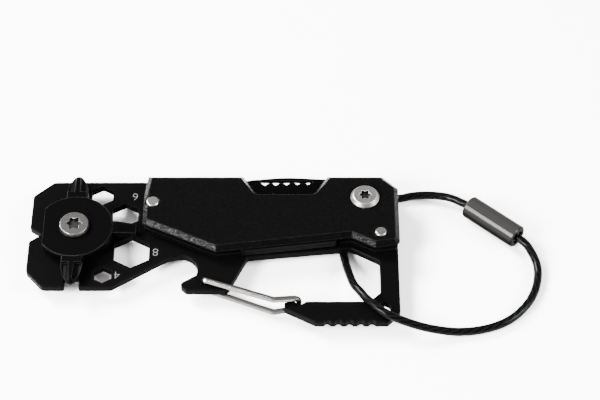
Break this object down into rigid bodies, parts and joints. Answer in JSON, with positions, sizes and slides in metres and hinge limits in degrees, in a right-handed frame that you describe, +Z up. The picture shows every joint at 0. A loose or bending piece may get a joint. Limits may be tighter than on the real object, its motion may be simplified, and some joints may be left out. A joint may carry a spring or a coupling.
{
  "type": "multi tool",
  "caption": "Flat keychain multi tool with wrench holes, bottle opener, wire-gate carabiner, turning bit wheel, folding blade under a chamfered cover and a screw-sleeve cable loop",
  "frame": {"origin": "on the table, under the middle of the tool's bounding box without its cable loop", "axes": "+X from the bit wheel to the blade pivot, +Y from the carabiner arm to the thumb window, +Z up from the table through the cover"},
  "size_m": [0.1166, 0.0423, 0.0093],
  "materials": {
    "black_steel": "black satin coating on steel",
    "cover_black": "black bead-blasted coating",
    "liner_grey": "grey sheet steel",
    "stainless": "turned stainless steel",
    "bronze": "plain bearing bronze",
    "polished_wire": "polished spring wire",
    "gunmetal": "polished dark metal",
    "cable_coating": "clear black coating over twisted strands"
  },
  "bodies": {
    "frame": {"body_plate": "black_steel", "front_cover": "cover_black", "lock_liner": "liner_grey", "wheel_screw": "stainless", "pivot_screw": "stainless", "wheel_nut": "stainless", "pivot_nut": "stainless", "wheel_bush": "bronze", "pivot_bush": "bronze", "wheel_washer": "stainless", "blade_washer_lower": "bronze", "blade_washer_upper": "bronze", "left_pin": "stainless", "stop_pin": "stainless", "left_spacer": "stainless", "stop_spacer": "stainless", "cable": "cable_coating", "swivel_ferrule": "stainless", "screw_ferrule": "stainless"},
    "wheel": {"bit_wheel": "black_steel"},
    "blade": {"blade": "black_steel"},
    "gate": {"gate_wire": "polished_wire"},
    "sleeve": {"cable_sleeve": "gunmetal"}
  },
  "joints": [
    {"name": "wheel_spin", "type": "hinge", "parent": "frame", "child": "wheel", "pos_m": [-0.0317, 0.00455, 0.0059], "axis": [0, 0, 1], "continuous": true},
    {"name": "blade_open", "type": "hinge", "parent": "frame", "child": "blade", "pos_m": [0.0345, 0.01215, 0.0061], "axis": [0, 0, -1], "range_deg": [0, 180]},
    {"name": "gate_swing", "type": "hinge", "parent": "frame", "child": "gate", "pos_m": [-0.0021, -0.00905, 0.0032], "axis": [0, 0, 1], "range_deg": [0, 30], "stiffness_Nm_per_rad": 0.02},
    {"name": "sleeve_twist", "type": "hinge", "parent": "frame", "child": "sleeve", "pos_m": [0.0641, 0.0095, 0.00275], "axis": [0.7547, -0.6561, 0], "continuous": true}
  ]
}
